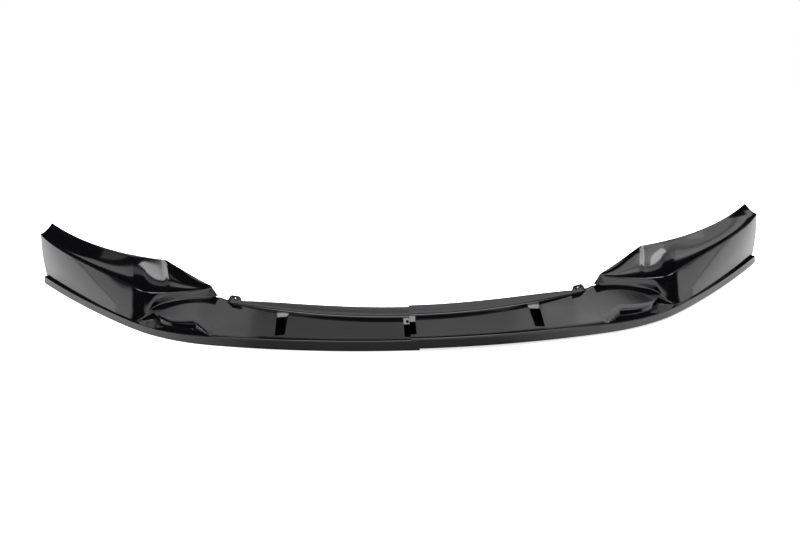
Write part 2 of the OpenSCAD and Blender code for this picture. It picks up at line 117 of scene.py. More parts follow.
@dataclass(frozen=True)
class Plan:
    """Sizes of a half in millimetres, with X from the seam and Y from the front edge at the seam."""

    half_w: float = 838.0
    nose_r: float = 1540.0
    nose_turn: float = math.radians(15.7)
    corner_r: float = 406.0
    corner_turn: float = math.radians(46.5)
    side_r: float = 2170.0
    skin: float = 3.0
    lap_gap: float = 0.3
    lap_rise: float = 1.5
    tongue: float = 18.0
    lip_h: float = 22.0
    lip_corner_h: float = 16.0
    lip_draft: float = 1.5
    lip_edge: float = 1.5
    lip_fade_x: float = 260.0
    deck_depth: float = 91.0
    deck_slope: float = math.radians(12)
    foot_r: float = 850.0
    foot_kick: float = 9.0
    flange_h: float = 20.0
    flange_lean: float = 2.0
    flange_end: float = 402.0
    flange_fillet: float = 6.0
    ledge_w: float = 8.0
    crease_x: float = 426.0
    kink_x: float = 455.0
    kink_back: float = 45.0
    step_lean: float = 0.4
    crease_margin: float = 14.0
    tip_x: float = 413.0
    prow_x: float = 590.0
    apex_x: float = 558.5
    apex_back: float = 69.0
    ear_x: float = 373.0
    wall_bulge: float = 3.0
    kink_share: float = 0.2
    peak_share: float = 0.55
    apex_share: float = 0.7
    bumper_share: float = 0.2
    ramp_power: float = 1.7
    bead: float = 3.5

    def lap(self) -> float:
        """How far the right half sits above and behind the left one's tongue."""
        return self.skin + self.lap_gap

    def nose_end(self) -> Vector:
        """Where the nose arc of the front edge meets the corner arc."""
        return self.nose_r * Vector((math.sin(self.nose_turn), 1 - math.cos(self.nose_turn), 0))

    def corner_end(self) -> Vector:
        """Where the corner arc of the front edge meets the side arc."""
        turn = Vector(
            (
                math.sin(self.corner_turn) - math.sin(self.nose_turn),
                math.cos(self.nose_turn) - math.cos(self.corner_turn),
                0,
            )
        )
        return self.nose_end() + self.corner_r * turn

    def heading(self, x: float) -> float:
        """Angle that the front edge has turned through at X, in radians."""
        corner, side = self.nose_end().x, self.corner_end().x
        if x < corner:
            return math.asin(x / self.nose_r)
        if x < side:
            return math.asin(math.sin(self.nose_turn) + (x - corner) / self.corner_r)
        return math.asin(math.sin(self.corner_turn) + (x - side) / self.side_r)

    def front(self, x: float) -> Vector:
        """Point of the front edge at X."""
        corner, side, turn = self.nose_end(), self.corner_end(), self.heading(x)
        if x < corner.x:
            return Vector((x, self.nose_r * (1 - math.cos(turn)), 0))
        if x < side.x:
            return Vector((x, corner.y + self.corner_r * (math.cos(self.nose_turn) - math.cos(turn)), 0))
        return Vector((x, side.y + self.side_r * (math.cos(self.corner_turn) - math.cos(turn)), 0))

    def inward(self, x: float) -> Vector:
        """Direction in plan from the front edge into the part at X."""
        return Vector((-math.sin(self.heading(x)), math.cos(self.heading(x)), 0))

    def lip_z(self, x: float) -> float:
        """Height of the lip at X."""
        share = (x - self.lip_fade_x) / (self.prow_x - self.lip_fade_x)
        return mix(self.lip_h, self.lip_corner_h, smooth(share))

    def foot_y(self, x: float) -> float:
        """Y of the line where the flange stands."""
        kick = self.foot_kick * smooth((x - self.ear_x) / (self.tip_x - self.ear_x))
        return self.deck_depth + self.foot_r - math.sqrt(self.foot_r**2 - x * x) + kick

    def flange_z(self, x: float) -> float:
        """Height of the flange above the deck."""
        return max(1.0, self.flange_h * (1 - min(1.0, abs(x) / self.flange_end) ** 4))

    def deck_z(self, x: float, y: float) -> float:
        """Height of the deck at a place in plan."""
        rise = math.tan(self.deck_slope) * (y - self.front(abs(x)).y - self.lip_draft - self.lip_edge)
        return self.lip_z(abs(x)) + rise

    def ledge_end(self, x: float) -> Vector:
        """Point where the ledge beside the outer wall meets that wall."""
        return lift(self.front(x) + self.inward(x) * self.ledge_w, self.lip_corner_h)


class Rails:
    """The wing's long edges: its base, its crest over horn and side, the bumper edge and the crease."""

    MARGIN_WAY = Vector((-0.45, -0.89, 0))
    TIP_CREST = (12, 2, 74)
    TIP_EDGE = Vector((2, 8, 2))
    PROW_TOP = (-8, 34, 77)
    END_CREST_Z = 117
    END_PEAK = (-25, 20, 137)
    PEAK_X = 535
    PEAK = (0, 194, 107)
    SET_BACK = Vector((0, 22, -8.2))

    def __init__(self, plan: Plan) -> None:
        """Lays the curves out from the plan's sizes.

        Args:
            plan: The sizes of a half.
        """
        self.plan = plan
        foot = plan.foot_y(plan.tip_x)
        self.tip = Vector((plan.tip_x, foot, plan.deck_z(plan.tip_x, foot)))
        apex_y = plan.front(plan.apex_x).y + plan.apex_back
        self.apex = Vector((plan.apex_x, apex_y, plan.deck_z(plan.apex_x, apex_y)))
        self.prow = plan.ledge_end(plan.prow_x)
        self.end = plan.ledge_end(plan.half_w)
        prow_top = self.beyond(plan.prow_x, self.prow.y, self.PROW_TOP)
        end_crest = Vector((plan.half_w, self.end.y + plan.ledge_w, self.END_CREST_Z))
        self.end_peak = self.beyond(plan.half_w, end_crest.y, self.END_PEAK)
        peak = self.beyond(self.PEAK_X, plan.front(self.PEAK_X).y, self.PEAK) + self.SET_BACK
        tip_crest = self.beyond(plan.tip_x, foot, self.TIP_CREST)
        tip_edge = tip_crest + self.TIP_EDGE
        kink = plan.front(plan.kink_x) + Vector((0, plan.kink_back, 0))
        crease_end = flat(self.apex) + plan.crease_margin * self.MARGIN_WAY
        self.base_rail = self.with_handles(self.tip, (45, 9.5, 0), (-10, 30.5, 0), self.apex)
        self.horn_rail = self.with_handles(tip_crest, (42, 14.4, -14.6), (-21, 28.2, -24.1), prow_top)
        self.side_rail = self.with_handles(prow_top, (55, 66, 8), (-55, -113, -12), end_crest)
        self.edge_rail = self.with_handles(tip_edge, (35, 24, 9), (-30, -31, -7), peak)
        self.bumper_rail = self.with_handles(peak, (115, 5, 14), (-68, -97, -10), self.end_peak)
        self.crease_rail = self.with_handles(kink, (43.5, 8, 0), (-22.5, -48, 0), crease_end)

    @staticmethod
    def beyond(x: float, y: float, offset: tuple[float, float, float]) -> Vector:
        """Point at an offset in plan from X and Y, its height given as the last number."""
        return Vector((x + offset[0], y + offset[1], offset[2]))

    @staticmethod
    def with_handles(start: Vector, leave: tuple, arrive: tuple, end: Vector) -> list[Vector]:
        """Ends and handles of a curve, the handles given from their own end."""
        return [start, start + Vector(leave), end + Vector(arrive), end]

    def front_x(self, p: float) -> float:
        """X at which the horn's station p meets the front edge."""
        return self.plan.tip_x + (self.plan.prow_x - self.plan.tip_x) * p * (1.15 - 0.15 * p)

    def base(self, p: float) -> Vector:
        """Foot of the horn's wall at station p."""
        share = self.plan.apex_share
        if p < share:
            place = rail(self.base_rail, p / share)
            return lift(place, self.plan.deck_z(place.x, place.y))
        return mix(self.apex, self.prow, (p - share) / (1 - share))

    def edge(self, p: float) -> Vector:
        """Bumper edge behind the horn at station p."""
        share = self.plan.peak_share
        if p < share:
            return rail(self.edge_rail, p / share)
        return rail(self.bumper_rail, self.plan.bumper_share * (p - share) / (1 - share))

    def crease(self, p: float) -> Vector:
        """Top edge of the step between ledge and deck at station p, in plan."""
        start, plan = self.plan.kink_share, self.plan
        if p < start:
            leave = plan.front(plan.crease_x) + plan.inward(plan.crease_x) * plan.ledge_w
            return mix(leave, self.crease_rail[0], p / start)
        return rail(self.crease_rail, (p - start) / (plan.apex_share - start))

    def step_top(self, p: float, brink: Vector) -> Vector:
        """Top edge of the step at station p.

        Args:
            p: Share of the way from the horn's tip to the front corner.
            brink: The lip's upper edge at that station.

        Returns:
            The point, which runs along the horn's foot behind the recess.
        """
        plan = self.plan
        if p <= plan.apex_share:
            place = flat(self.crease(p))
            return lift(place, plan.deck_z(place.x, place.y))
        base = self.base(p)
        out = flat(brink - base)
        fade = smooth((p - plan.apex_share) / (1 - plan.apex_share))
        reach = min(mix(plan.crease_margin, 1, fade), 0.6 * out.length)
        ahead = mix(self.MARGIN_WAY, out.normalized(), fade).normalized()
        return lift(base + ahead * reach, mix(base.z, brink.z, 0.1))


@dataclass
class Section:
    """One face of the skin across the part, from the lip's lower edge to the bumper edge."""

    bottom: Vector
    brow: Vector
    rows: list[Vector]
    base: Vector
    walls: list[Vector]
    crest: Vector
    ramp: list[Vector]
    edge: Vector
    brow_reach: float
    base_reach: float
    crest_reach: float

    def trace(self, other: "Section") -> list[Vector]:
        """Points of this face, its corners rounded.

        Args:
            other: The skin's other face, which the rounded rims turn to.

        Returns:
            The points from the lip's lower edge to the bumper edge.
        """
        rim = 0.7
        return [
            *rounded(other.bottom, self.bottom, self.brow, rim, 3),
            mix(self.bottom, self.brow, 0.35),
            mix(self.bottom, self.brow, 0.7),
            *rounded(self.bottom, self.brow, self.rows[0], self.brow_reach, 5),
            *self.rows,
            *rounded(self.rows[-1], self.base, self.walls[0], self.base_reach, 6),
            *self.walls,
            *rounded(self.walls[-1], self.crest, self.ramp[0], self.crest_reach, 5),
            *self.ramp,
            *rounded(self.ramp[-1], self.edge, other.edge, rim, 3),
        ]


class Skin:
    """The stations of one half, each a closed ring round the skin."""

    WALL_SHARES = (0.25, 0.42, 0.6, 0.8)
    RAMP_SHARES = (0.12, 0.24, 0.36, 0.48, 0.6, 0.72, 0.84, 0.93)
    TOE_SHARES = (0.25, 0.45, 0.65, 0.82)
    INSET_SHARES = (1, 1, 1, 1, 1, 1, 0.75, 0.55, 0.35, 0.18)
    DECK_ROWS = 10
    CENTRE_STEPS = 58
    HORN_STEPS = 44
    SIDE_STEPS = 44
    END_STEPS = 6
    CORNER_BEFORE = 5
    CORNER_AFTER = 4
    TIP_ROUND = 1.5
    TIP_ROWS = 5
    FLANGE_ROUND = 0.8
    FOOT_ROUND = 1.8
    CREST_ROUND = 2.2
    INNER_ROUND = 1
    STEP_ROUND = 0.8
    INNER_TOP = 0.55

    def __init__(self, plan: Plan, from_x: float) -> None:
        """Builds every station.

        Args:
            plan: The sizes of a half.
            from_x: X at which the half ends near the seam.
        """
        self.plan = plan
        self.rails = Rails(plan)
        self.from_x = from_x

    def lip(self, x: float, inner: bool) -> tuple[Vector, Vector]:
        """Lower edge and upper corner of the lip, on the outer or the inner face."""
        plan, side = self.plan, -1 if x < 0 else 1
        x = abs(x)
        depth, drop = (plan.skin, plan.skin) if inner else (0, 0)
        bottom = plan.front(x) + plan.inward(x) * depth
        brow = lift(plan.front(x) + plan.inward(x) * (depth + plan.lip_draft), plan.lip_z(x) - drop)
        for point in (bottom, brow):
            point.x *= side
        return bottom, brow

    def deck_point(self, x: float, y: float) -> Vector:
        """Point of the deck at a place in plan."""
        return Vector((x, y, self.plan.deck_z(x, y)))

    def centre(self, x: float) -> tuple[Section, Section]:
        """Outer and inner face of the station at X, between the seam and the horn."""
        plan = self.plan
        foot, height = plan.foot_y(abs(x)), plan.flange_z(x)
        fillet = min(plan.flange_fillet, 0.45 * height)
        bottom, brow = self.lip(x, False)
        first, last = plan.front(abs(x)).y + plan.lip_draft + 2 * plan.lip_edge, foot - plan.flange_fillet
        rows = [self.deck_point(x, mix(first, last, i / (self.DECK_ROWS - 1))) for i in range(self.DECK_ROWS)]
        base = self.deck_point(x, foot)
        top = base + Vector((0, plan.flange_lean * height / plan.flange_h, height))
        rear = top + Vector((0, plan.skin, 0))
        walls = [mix(base, top, mix(fillet / height, 1, s)) for s in self.WALL_SHARES]
        ramp = [mix(top, rear, s) for s in self.RAMP_SHARES]
        reaches = (plan.lip_edge, fillet, self.FLANGE_ROUND)
        outer = Section(bottom, brow, rows, base, walls, top, ramp, rear, *reaches)
        drop = Vector((0, 0, -plan.skin))
        toe = self.deck_point(x, foot - plan.flange_fillet)
        low = toe + Vector((0, plan.flange_fillet + plan.skin, -plan.skin))
        high = rear - Vector((0, 0, 0.2 * height))
        bottom, brow = self.lip(x, True)
        inner = Section(
            bottom,
            brow,
            [row + drop for row in rows],
            low,
            [mix(low, high, 0.5 * s) for s in self.WALL_SHARES],
            mix(low, high, self.INNER_TOP),
            [mix(low, high, mix(self.INNER_TOP, 1, s)) for s in self.RAMP_SHARES],
            high,
            plan.lip_edge / 2,
            self.INNER_ROUND,
            self.INNER_ROUND,
        )
        return outer, inner

    def ledge_rows(self, p: float, base: Vector, x: float) -> list[Vector]:
        """Rows from the lip to the horn's foot at station p: ledge, step and deck."""
        plan = self.plan
        brink = lift(plan.front(x) + plan.inward(x) * (plan.lip_draft + plan.lip_edge), plan.lip_z(x))
        top = self.rails.step_top(p, brink)
        rise = max(0.2, top.z - brink.z)
        run = max(1, plan.step_lean * rise)
        low = lift(top - flat(base - top).normalized() * run, brink.z)
        high = lift(top, brink.z + rise)
        return [
            *rounded(brink, low, high, self.STEP_ROUND, 3),
            *rounded(low, high, mix(high, base, 0.3), self.STEP_ROUND, 3),
            *(mix(high, base, s) for s in self.TOE_SHARES),
        ]

    def side_rows(self, x: float) -> list[Vector]:
        """Rows across the plain ledge beside the outer wall at X."""
        plan = self.plan
        brink = lift(plan.front(x) + plan.inward(x) * (plan.lip_draft + plan.lip_edge), plan.lip_z(x))
        return [mix(brink, plan.ledge_end(x), 0.12 + 0.07 * i) for i in range(self.DECK_ROWS)]

    def wing(
        self,
        x: float,
        rows: list[Vector],
        rail_points: tuple[Vector, Vector, Vector],
        miters: tuple[Vector, Vector],
        push: Vector,
        tip_shift: float,
        straight: bool,
        dip: float,
    ) -> tuple[Section, Section]:
        """Outer and inner face of a station through the wing.

        Args:
            x: Where the station meets the front edge.
            rows: Its points between the lip and the wing's foot.
            rail_points: Foot, crest and bumper edge.
            miters: Plan offset of the inner face for a wall 1 mm thick, at foot and crest.
            push: Bulge of the wall half-way up.
            tip_shift: How far the inner face stands back along X from the horn's end.
            straight: Whether the underside runs straight from the lip to the wing's foot.
            dip: How far the ramp lies below the bead along the horn's inner edge.

        Returns:
            The outer and the inner face.
        """
        plan, (base, crest, edge) = self.plan, rail_points
        bottom, brow = self.lip(x, False)
        walls = [mix(base, crest, s) + push * math.sin(math.pi * s) for s in self.WALL_SHARES]
        ramp = []
        for s in self.RAMP_SHARES:
            height = mix(crest.z, edge.z, s**plan.ramp_power) - dip * smooth(1.3 * s)
            ramp.append(lift(mix(flat(crest), flat(edge), s), height))
        reaches = (plan.lip_edge, self.FOOT_ROUND, self.CREST_ROUND)
        outer = Section(bottom, brow, rows, base, walls, crest, ramp, edge, *reaches)
        drop, shift = Vector((0, 0, -plan.skin)), Vector((tip_shift, 0.5 * tip_shift, 0))
        offsets = [miter * plan.skin * self.lean_factor(base, crest, miter) for miter in miters]
        room = min(1, 0.3 * flat(edge - crest).length / offsets[1].length)
        low = base + offsets[0] + drop + shift
        high = crest + offsets[1] * room + drop + shift
        bottom, brow = self.lip(x, True)
        inset = flat(base - rows[4])
        inset *= min(0.7 * plan.skin, 0.5 * (rows[4].z - rows[1].z), 0.5 * inset.length) / inset.length
        under = [row + drop + inset * share for row, share in zip(rows, self.INSET_SHARES)]
        if straight:
            start = brow + plan.inward(x) * plan.lip_edge
            under = [mix(start, low, i / (self.DECK_ROWS + 1)) for i in range(self.DECK_ROWS)]
        inner = Section(
            bottom,
            brow,
            under,
            low,
            [mix(low, high, s) + push * math.sin(math.pi * s) for s in self.WALL_SHARES],
            high,
            [point + drop + shift for point in ramp],
            edge + drop + shift,
            plan.lip_edge / 2,
            self.INNER_ROUND,
            self.INNER_ROUND,
        )
        return outer, inner

    @staticmethod
    def lean_factor(base: Vector, top: Vector, normal: Vector) -> float:
        """Factor on a wall's plan offset where it leans between its foot and its top."""
        out = -flat(top - base).dot(normal.normalized())
        lean = out / math.hypot(out, top.z - base.z)
        return (1 + lean) / math.sqrt(1 - lean * lean)

    @staticmethod
    def miter(points: list[Vector], i: int) -> Vector:
        """Plan offset of a wall's inner face at point i of a rail, for a wall 1 mm thick."""
        last = len(points) - 1
        normals = []
        for j in (max(i, 1), min(i, last - 1) + 1):
            along = flat(points[j] - points[j - 1]).normalized()
            normals.append(Vector((-along.y, along.x, 0)))
        return (normals[0] + normals[1]) / (1 + normals[0].dot(normals[1]))

    def horn_shares(self) -> list[float]:
        """Stations of the horn, with one at each kink and none close to the two ends."""
        plan, shares = self.plan, [0.0]
        stops = (0.0, plan.kink_share, plan.peak_share, plan.apex_share, 1.0)
        for start, end in zip(stops, stops[1:]):
            count = max(2, round((end - start) * self.HORN_STEPS))
            shares += [mix(start, end, i / count) for i in range(1, count + 1)]
        return [s for s in shares if s in (0.0, 1.0) or 0.02 < s < 0.97]

    def rings(self) -> list[list[Vector]]:
        """Closed rings of points round the skin, from the seam to the outer end."""
        plan, rails = self.plan, self.rails
        pairs = []
        steps = self.CENTRE_STEPS
        for i in range(steps + 1):
            pairs.append(self.centre(mix(self.from_x, plan.tip_x - plan.skin, i / steps)))
        shares = self.horn_shares()
        side = [i / self.SIDE_STEPS for i in range(1, self.SIDE_STEPS + 1)]
        side_x = [mix(plan.prow_x, plan.half_w, q) for q in side]
        xs = [rails.front_x(p) for p in shares] + side_x
        bases = [rails.base(p) for p in shares] + [plan.ledge_end(x) for x in side_x]
        crests = [rail(rails.horn_rail, p) for p in shares] + [rail(rails.side_rail, q) for q in side]
        edges = [rails.edge(p) for p in shares]
        edges += [rail(rails.bumper_rail, mix(plan.bumper_share, 1, q)) for q in side]
        rows = [self.ledge_rows(p, base, x) for p, base, x in zip(shares, bases, xs)]
        rows += [self.side_rows(x) for x in side_x]
        pushes = [Vector()] * len(shares)
        pushes += [plan.inward(x) * (-plan.wall_bulge * smooth(3 * q)) for x, q in zip(side_x, side)]
        shifts = [plan.skin * max(0, 1 - 10 * p) for p in shares] + [0.0] * len(side)
        straight = [False] * len(shares) + [True] * len(side)
        dips = [plan.bead * smooth(8 * p) * smooth(12 * (plan.peak_share + 0.04 - p)) for p in shares]
        dips += [0.0] * len(side)
        for i, x in enumerate(xs):
            miters = (self.miter(bases, i), self.miter(crests, i))
            points = (bases[i], crests[i], edges[i])
            pairs.append(self.wing(x, rows[i], points, miters, pushes[i], shifts[i], straight[i], dips[i]))
        rings = [outer.trace(inner) + inner.trace(outer)[::-1] for outer, inner in pairs]
        tip, prow = steps + 1, steps + len(shares)
        rings = self.round_corner(rings, prow, self.CORNER_BEFORE, self.CORNER_AFTER)
        count = self.END_STEPS
        end_face = [self.between(rings[tip - 1], rings[tip], i / count) for i in range(1, count)]
        rings[tip:tip] = end_face
        return self.soften(rings, tip + len(end_face), self.TIP_ROUND, self.TIP_ROWS)

    @staticmethod
    def round_corner(rings: list[list[Vector]], i: int, before: int, after: int) -> list[list[Vector]]:
        """Rounds the front corner of the wing.

        Args:
            rings: The rings of the skin.
            i: The station with the corner.
            before: How many stations towards the horn's tip the rounding runs.
            after: How many stations along the side it runs.

        Returns:
            The rings, with those stations moved.
        """
        start, corner, end = rings[i - before], rings[i], rings[i + after]
        moved = list(rings)
        for k in range(i - before + 1, i + after):
            t = (k - i + before) / (before + after)
            moved[k] = [mix(mix(a, b, t), mix(b, c, t), t) for a, b, c in zip(start, corner, end)]
        return moved

    @staticmethod
    def between(first: list[Vector], second: list[Vector], share: float) -> list[Vector]:
        """Ring that lies the given share of the way from one ring to the next."""
        return [mix(a, b, share) for a, b in zip(first, second)]

    @staticmethod
    def soften(rings: list[list[Vector]], i: int, reach: float, count: int) -> list[list[Vector]]:
        """Rounds the upright corner that the skin turns at one station.

        Args:
            rings: The rings of the skin.
            i: The station with the corner.
            reach: How far the rounding runs to each side.
            count: How many stations take its place.

        Returns:
            The rings, with that station replaced.
        """
        arcs = [rounded(*points, reach, count) for points in zip(rings[i - 1], rings[i], rings[i + 1])]
        return rings[:i] + [list(ring) for ring in zip(*arcs)] + rings[i + 1 :]


def deselect() -> None:
    """Leaves edit mode with nothing selected."""
    if bpy.context.mode != "OBJECT":
        bpy.ops.object.mode_set(mode="OBJECT")
    bpy.ops.object.select_all(action="DESELECT")


def pick(piece: bpy.types.Object) -> None:
    """Selects one piece alone and makes it active."""
    deselect()
    piece.select_set(True)
    bpy.context.view_layer.objects.active = piece


def face_outwards(piece: bpy.types.Object, merge: float = 0.0005) -> None:
    """Merges a piece's doubles and turns its faces outwards."""
    pick(piece)
    bpy.ops.object.mode_set(mode="EDIT")
    bpy.ops.mesh.select_all(action="SELECT")
    bpy.ops.mesh.remove_doubles(threshold=merge)
    bpy.ops.mesh.normals_make_consistent(inside=False)
    bpy.ops.object.mode_set(mode="OBJECT")


def shell_piece(name: str, rings: list[list[Vector]]) -> bpy.types.Object:
    """Closed skin from a grid that is wrapped round the rings.

    Args:
        name: The piece's name.
        rings: The rings, with equally many points.

    Returns:
        The skin, in millimetres.
    """
    deselect()
    around = len(rings[0])
    bpy.ops.mesh.primitive_grid_add(x_subdivisions=around, y_subdivisions=len(rings) - 1, size=2)
    piece = bpy.context.object
    piece.name = piece.data.name = name
    work = bmesh.new()
    work.from_mesh(piece.data)
    ends: dict[tuple[int, int], bmesh.types.BMVert] = {}
    last = len(rings) - 1
    for vert in work.verts:
        column = round((vert.co.x + 1) / 2 * around)
        row = round((vert.co.y + 1) / 2 * last)
        vert.co = rings[row][column % around]
        if row in (0, last):
            ends[row, column] = vert
    for row in (0, last):
        for k in range(around // 2 - 1):
            work.faces.new([ends[row, column] for column in (k, k + 1, around - 2 - k, around - 1 - k)])
    work.to_mesh(piece.data)
    work.free()
    face_outwards(piece)
    return piece


def prism(name: str, start: list[Vector], end: list[Vector]) -> bpy.types.Object:
    """Solid between two outlines: a filled circle, extruded and brought to their shapes.

    Args:
        name: The solid's name.
        start: The first outline.
        end: The second outline, with as many points.

    Returns:
        The solid, in millimetres.
    """
    deselect()
    bpy.ops.mesh.primitive_circle_add(vertices=len(start), radius=1, fill_type="NGON")
    piece = bpy.context.object
    piece.name = piece.data.name = name
    spots = [vert.co.copy() for vert in piece.data.vertices]
    bpy.ops.object.mode_set(mode="EDIT")
    bpy.ops.mesh.select_all(action="SELECT")
    bpy.ops.mesh.extrude_region_move(TRANSFORM_OT_translate={"value": (0, 0, 1)})
    bpy.ops.object.mode_set(mode="OBJECT")
    for vert in piece.data.vertices:
        level = vert.co.z > 0.5
        near = min(range(len(spots)), key=lambda i: (flat(vert.co) - flat(spots[i])).length)
        vert.co = end[near] if level else start[near]
    face_outwards(piece)
    return piece


def cylinder(name: str, centre: Vector, axis: Vector, width: float, length: float) -> bpy.types.Object:
    """Round bar.

    Args:
        name: The bar's name.
        centre: Its middle.
        axis: Its direction.
        width: Its diameter.
        length: Its length.

    Returns:
        The bar, in millimetres.
    """
    deselect()
    bpy.ops.mesh.primitive_cylinder_add(vertices=48, radius=width / 2, depth=length)
    piece = bpy.context.object
    piece.name = piece.data.name = name
    turn = Vector((0, 0, 1)).rotation_difference(axis).to_matrix().to_4x4()
    piece.data.transform(Matrix.Translation(centre) @ turn)
    return piece


def combine(shell: bpy.types.Object, tool: bpy.types.Object, cut: Cut) -> None:
    """Adds a tool solid to the shell or takes it away, and removes the tool."""
    pick(shell)
    modifier = shell.modifiers.new(cut.name, "BOOLEAN")
    modifier.operation = cut.value
    modifier.solver = "EXACT"
    modifier.object = tool
    bpy.ops.object.modifier_apply(modifier=modifier.name)
    bpy.data.objects.remove(tool)


class Pockets:
    """Screw pockets with their scoops, facet, boss and holes, cut into one half."""

    FAR = 60.0
    FLOOR = 9.0
    FRONT = 20.0
    REAR = 11.0
    CORNER = 3.0
    SCOOP = 6.0
    SIDE_X = 264.0
    SIDE_W = 20.5
    TAPER = 3.0
    FACET_W = 7.5
    FACET_D = 9.0
    CENTRE_W = 12.5
    CENTRE_L = 56.0
    SCREW = 6.5
    BOSS = 2.5
    FILLET_MID = (0.29, 0.24)

    def __init__(self, plan: Plan, shell: bpy.types.Object) -> None:
        """Takes the shell that the pockets go into.

        Args:
            plan: The sizes of a half.
            shell: The skin of that half, in millimetres.
        """
        self.plan = plan
        self.shell = shell
        self.side_end = self.SIDE_X + self.SIDE_W
        self.side_front = plan.front(self.SIDE_X).y + self.FRONT
        self.side_rear = plan.foot_y(self.SIDE_X - self.FACET_W) - self.REAR
        self.centre_front = self.FRONT - 5
        self.centre_rear = self.centre_front + self.CENTRE_L

    @staticmethod
    def side_view(x: float, outline: list[tuple[float, float]]) -> list[Vector]:
        """Outline in the plane at X, its points given as Y and Z."""
        return [Vector((x, y, z)) for y, z in outline]

    def box(self, x0: float, x1: float, y0: float, y1: float) -> bpy.types.Object:
        """Solid from which a pocket's floor and walls are left."""
        skin, deck = self.plan.skin, self.plan.deck_z
        outlines = []
        for x, outer in ((x0, x0 - skin), (x1, x1 + skin)):
            outline = [
                (y0 - skin, self.FLOOR - skin),
                (y1 + skin, self.FLOOR - skin),
                (y1 + skin, deck(x, y1) - self.SCOOP),
                (y0 - skin, deck(x, y0 - skin) - skin / 2),
            ]
            outlines.append(self.side_view(outer, outline))
        return prism("pocket_box", *outlines)

    def scoop_wall(self, x0: float, x1: float, rear: float) -> bpy.types.Object:
        """Solid from which the wall under a scoop is left."""
        skin, deck = self.plan.skin, self.plan.deck_z
        outlines = []
        for x, outer in ((x0, x0 - 1.5 * skin), (x1, x1 + 1.5 * skin)):
            foot = self.plan.foot_y(abs(x))
            outline = [
                (rear - skin / 2, deck(x, rear) - self.SCOOP - skin),
                (rear + 1.5 * skin, deck(x, rear) - self.SCOOP - skin),
                (foot + skin / 2, deck(x, foot) - skin / 2),
                (rear - skin / 2, deck(x, rear) - skin / 2),
            ]
            outlines.append(self.side_view(outer, outline))
        return prism("scoop_wall", *outlines)

    def scoop(self, x0: float, x1: float, rear: float) -> bpy.types.Object:
        """Solid that a scoop takes away, from the pocket's rear wall up to the flange's fillet."""
        skin, deck, radius = self.plan.skin, self.plan.deck_z, self.plan.flange_fillet
        outlines = []
        for x in (x0, x1):
            foot = self.plan.foot_y(abs(x))
            back = foot - self.FILLET_MID[0] * radius
            outline = [
                (rear - self.CORNER / 2, deck(x, rear) - self.SCOOP),
                (rear + skin / 4, deck(x, rear) - self.SCOOP),
                (back, deck(x, foot) + self.FILLET_MID[1] * radius),
                (back, self.FAR),
                (rear - self.CORNER / 2, self.FAR),
            ]
            outlines.append(self.side_view(x, outline))
        return prism("scoop", *outlines)

    def hollow(self, x0: float, x1: float, y0: float, y1: float, taper: float) -> bpy.types.Object:
        """Solid that a pocket takes away, its upright corners rounded."""
        corners = [Vector((x, y, 0)) for x, y in ((x0, y0), (x1, y0), (x1 - taper, y1), (x0, y1))]
        outline = []
        for i, corner in enumerate(corners):
            outline += rounded(corners[i - 1], corner, corners[(i + 1) % 4], self.CORNER, 6)
        return prism("hollow", [lift(p, self.FLOOR) for p in outline], [lift(p, self.FAR) for p in outline])

    def facet(self, y: float, width: float, depth: float) -> list[Vector]:
        """Outline at Y of what the facet beside the side pocket takes away."""
        skin, z = self.plan.skin, self.plan.deck_z(self.SIDE_X, y)
        outline = [
            (self.SIDE_X - width, z),
            (self.SIDE_X + skin, z - depth * (1 + skin / width)),
            (self.SIDE_X + skin, self.FAR),
            (self.SIDE_X - width, self.FAR),
        ]
        return [Vector((x, y, z)) for x, z in outline]

    def facet_wall(self, y: float, width: float, depth: float) -> list[Vector]:
        """Outline at Y of the wall under that facet."""
        skin, z = self.plan.skin, self.plan.deck_z(self.SIDE_X, y)
        outline = [
            (self.SIDE_X - width - skin, z - skin / 2),
            (self.SIDE_X - skin / 2, z - depth - 1.5 * skin),
            (self.SIDE_X - skin / 2, z - skin / 2),
        ]
        return [Vector((x, y, z)) for x, z in outline]

    def add_side_walls(self) -> None:
        """Adds the floor and walls of the side pocket."""
        skin = self.plan.skin
        rear, front = self.side_rear, self.side_front
        combine(self.shell, self.box(self.SIDE_X, self.side_end, front, rear), Cut.ADD)
        combine(self.shell, self.scoop_wall(self.SIDE_X - self.FACET_W, self.side_end, rear), Cut.ADD)
        ends = (
            self.facet_wall(rear + skin / 2, self.FACET_W, self.FACET_D),
            self.facet_wall(front, 0, 0),
        )
        combine(self.shell, prism("facet_wall", *ends), Cut.ADD)

    def cut_side(self) -> None:
        """Hollows the side pocket, its scoop, its facet and its screw hole."""
        skin = self.plan.skin
        rear, front = self.side_rear, self.side_front
        combine(self.shell, self.hollow(self.SIDE_X, self.side_end, front, rear, self.TAPER), Cut.TAKE)
        scoop = self.scoop(self.SIDE_X - self.FACET_W, self.side_end - self.TAPER, rear)
        combine(self.shell, scoop, Cut.TAKE)
        ends = (
            self.facet(rear + skin / 8, self.FACET_W, self.FACET_D),
            self.facet(front + skin / 8, skin / 10, skin / 10),
        )
        combine(self.shell, prism("facet", *ends), Cut.TAKE)
        hole = Vector((self.SIDE_X + (self.SIDE_W - self.TAPER) / 2, rear - 2 * self.SCREW, 0))
        screw = cylinder("screw_hole", hole, Vector((0, 0, 1)), self.SCREW, self.FAR)
        combine(self.shell, screw, Cut.TAKE)

